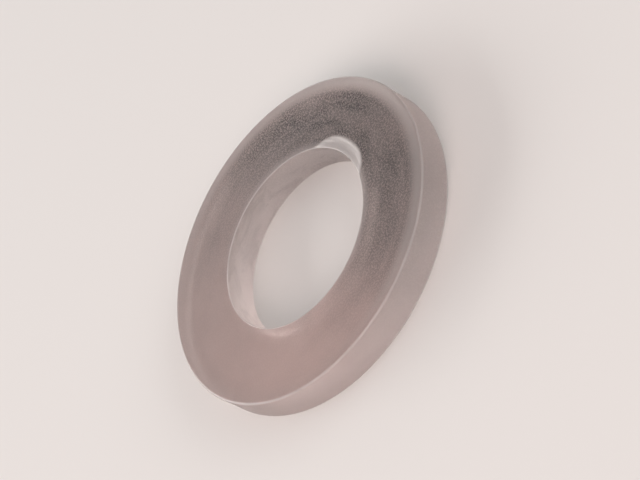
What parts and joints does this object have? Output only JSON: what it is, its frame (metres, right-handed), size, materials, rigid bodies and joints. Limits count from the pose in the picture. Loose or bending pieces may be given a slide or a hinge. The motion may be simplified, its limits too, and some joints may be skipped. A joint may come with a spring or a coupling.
{
  "type": "flat washer",
  "caption": "Flat ring washer of frosted translucent plastic that goes under a screw head or nut to spread its load.",
  "frame": {"origin": "centre of the bore at the lower bearing face", "axes": "+Z along the bore axis, out of the upper bearing face; X and Y lie in the lower face and are interchangeable, because the ring is round"},
  "size_m": [0.024, 0.024, 0.0025],
  "materials": {
    "frosted_plastic": "frosted translucent uncoloured moulded plastic, nylon-like, finely grained faces"
  },
  "bodies": {
    "root": {"washer": "frosted_plastic"}
  },
  "joints": []
}
